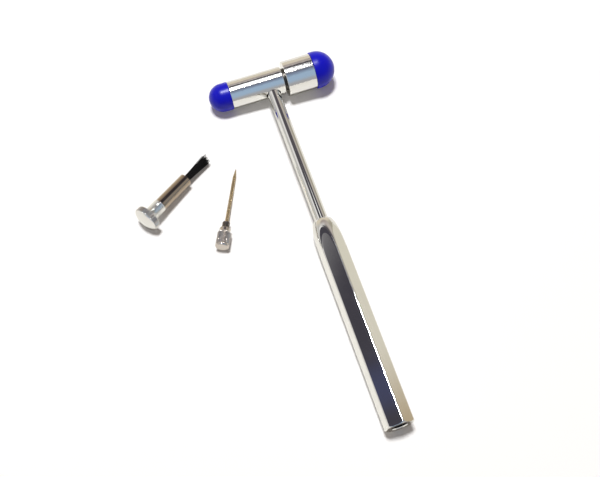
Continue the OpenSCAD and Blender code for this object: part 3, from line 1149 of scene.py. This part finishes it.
# Bristles. A tuft of stiff black nylon, cut from a hank, pushed into the ferrule and set in
# resin. It fans a little outside the mouth, and its tips are no longer quite even.
def tuft_tree():
    """A tree that grows a tuft of bristles along X from a round root."""
    tree, add, join, given, result = new_tree("grow_tuft", "GeometryNodeTree", (
        ("Geometry", "Geometry", None),
        ("Root radius", "Float", 1.8 * mm),
        ("Tip radius", "Float", 2.5 * mm),
        ("Length", "Float", 20 * mm),
        ("Mouth", "Float", 9 * mm),
        ("Strand radius", "Float", 0.1 * mm),
        ("Spacing", "Float", 0.2 * mm),
        ("Unevenness", "Float", 1.2 * mm),
        ("Bend", "Float", 0.3 * mm),
        ("Seed", "Int", 4),
        ("Material", "Material", None),
    ), (("Geometry", "Geometry"),))
    maths = maths_for(add, join)
    disc = add("GeometryNodeMeshCircle", {"fill_type": "NGON"}, Vertices=48)
    scatter = add("GeometryNodeDistributePointsOnFaces", {"distribute_method": "POISSON"})
    root_room = maths("SUBTRACT", given["Root radius"], given["Strand radius"])
    join(root_room, disc.inputs["Radius"])
    join(disc.outputs[0], scatter.inputs["Mesh"])
    join(given["Spacing"], scatter.inputs["Distance Min"])
    scatter.inputs["Density Max"].default_value = 1e9
    join(given["Seed"], scatter.inputs["Seed"])
    own = add("FunctionNodeRandomValue", {"data_type": "FLOAT_VECTOR"})
    own.inputs["Min"].default_value = (-1, -1, -1)
    join(given["Seed"], own.inputs["Seed"])
    on_points = {"data_type": "FLOAT_VECTOR", "domain": "POINT"}
    keep = add("GeometryNodeStoreNamedAttribute", on_points, Name="own")
    join(scatter.outputs["Points"], keep.inputs["Geometry"])
    join(own.outputs[0], keep.inputs["Value"])
    line = add("GeometryNodeCurvePrimitiveLine")
    line.inputs["End"].default_value = (0, 0, 1)
    shaped = add("GeometryNodeResampleCurve", Count=14)
    join(line.outputs[0], shaped.inputs["Curve"])
    plant = add("GeometryNodeInstanceOnPoints")
    join(keep.outputs["Geometry"], plant.inputs["Points"])
    join(shaped.outputs[0], plant.inputs["Instance"])
    strands = add("GeometryNodeRealizeInstances")
    join(plant.outputs[0], strands.inputs[0])
    recall = add("GeometryNodeInputNamedAttribute", {"data_type": "FLOAT_VECTOR"}, Name="own")
    place = add("GeometryNodeInputPosition")
    spot = add("ShaderNodeSeparateXYZ")
    join(place.outputs[0], spot.inputs[0])
    first, second, share = spot.outputs
    random = add("ShaderNodeSeparateXYZ")
    join(recall.outputs["Attribute"], random.inputs[0])
    clump = add("ShaderNodeTexNoise", {"noise_dimensions": "2D"}, Scale=900.0, Detail=1.0)
    flat = add("ShaderNodeCombineXYZ")
    join(first, flat.inputs[0])
    join(second, flat.inputs[1])
    join(flat.outputs[0], clump.inputs["Vector"])
    clumps = add("ShaderNodeMapRange", From_Min=0.35, From_Max=0.65)
    join(clump.outputs["Fac"], clumps.inputs["Value"])
    short = maths("MULTIPLY", clumps.outputs["Result"], given["Unevenness"])
    short = maths("ADD", short, maths("MULTIPLY", maths("ABSOLUTE", random.outputs[2]), 0.4 * mm))
    length = maths("SUBTRACT", given["Length"], short)
    along = maths("MULTIPLY", share, length)
    free_length = maths("SUBTRACT", given["Length"], given["Mouth"])
    out_share = maths("DIVIDE", maths("SUBTRACT", along, given["Mouth"]), free_length)
    out_share = maths("MAXIMUM", out_share, 0.0)
    fan = maths("DIVIDE", given["Tip radius"], given["Root radius"])
    opening = maths("MULTIPLY", maths("SUBTRACT", fan, 1.0), maths("POWER", out_share, 1.4))
    spread = maths("ADD", 1.0, opening)
    bend = maths("MULTIPLY", maths("MULTIPLY", out_share, out_share), given["Bend"])
    side = maths("ADD", maths("MULTIPLY", first, spread), maths("MULTIPLY", random.outputs[0], bend))
    up = maths("ADD", maths("MULTIPLY", second, spread), maths("MULTIPLY", random.outputs[1], bend))
    radius = maths("SQRT", maths("ADD", maths("MULTIPLY", side, side), maths("MULTIPLY", up, up)))
    growth = maths("SUBTRACT", given["Tip radius"], given["Root radius"])
    widest = maths("ADD", given["Root radius"], maths("MULTIPLY", growth, out_share))
    widest = maths("SUBTRACT", widest, given["Strand radius"])
    hold = maths("MINIMUM", 1.0, maths("DIVIDE", widest, maths("MAXIMUM", radius, 1e-6)))
    grown_to = add("ShaderNodeCombineXYZ")
    join(along, grown_to.inputs[0])
    join(maths("MULTIPLY", side, hold), grown_to.inputs[1])
    join(maths("MULTIPLY", up, hold), grown_to.inputs[2])
    move = add("GeometryNodeSetPosition")
    join(strands.outputs[0], move.inputs["Geometry"])
    join(grown_to.outputs[0], move.inputs["Position"])
    ring = add("GeometryNodeCurvePrimitiveCircle", Resolution=7)
    join(given["Strand radius"], ring.inputs["Radius"])
    skin = add("GeometryNodeCurveToMesh")
    skin.inputs["Fill Caps"].default_value = True
    join(move.outputs[0], skin.inputs["Curve"])
    join(ring.outputs[0], skin.inputs["Profile Curve"])
    solid = add("GeometryNodeRealizeInstances")
    join(skin.outputs[0], solid.inputs[0])
    coat = add("GeometryNodeSetMaterial")
    join(solid.outputs[0], coat.inputs["Geometry"])
    join(given["Material"], coat.inputs["Material"])
    join(coat.outputs[0], result[0])
    return tree


bristle_nylon = mottled(
    "bristle_nylon",
    (0.002, 0.002, 0.002),
    (0.008, 0.007, 0.008),
    {"Scale": 1800.0, "Detail": 2.0},
    Roughness=0.6,
    Specular_IOR_Level=0.12,
    IOR=1.53,
)[0]
bristle_start = bristle_low[0] - cap_back
bristle_end = bristle_high[0] - cap_back
tuft = grown(
    tuft_tree(),
    bpy.data.meshes.new("tuft_root"),
    Root_radius=1.5 * mm,
    Tip_radius=2.38 * mm,
    Length=bristle_end - bristle_start,
    Mouth=ferrule_end - bristle_start,
    Strand_radius=0.1 * mm,
    Spacing=0.19 * mm,
    Unevenness=1.6 * mm,
    Bend=0.25 * mm,
    Seed=4,
    Material=bristle_nylon,
)
finished(
    "bristle_tuft",
    tuft,
    brush_place @ Matrix.Translation((bristle_start, 0, 0)),
    bristle_nylon,
    "brush",
    "bristle_nylon",
    "brush_bristles",
    sharp=60,
)


# Resin. Amber epoxy poured round the bristles' root inside the ferrule, where it is hidden.
# It keeps the CAD solid's own shape.
setting_resin = mottled(
    "setting_resin",
    (0.32, 0.2, 0.08),
    (0.42, 0.28, 0.12),
    {"Scale": 700.0, "Detail": 3.0},
    Roughness=0.3,
    IOR=1.55,
)[0]
resin_node = frame["nodes"]["brush_resin"]
resin_node.data.materials.clear()
resin_node.data.materials.append(setting_resin)
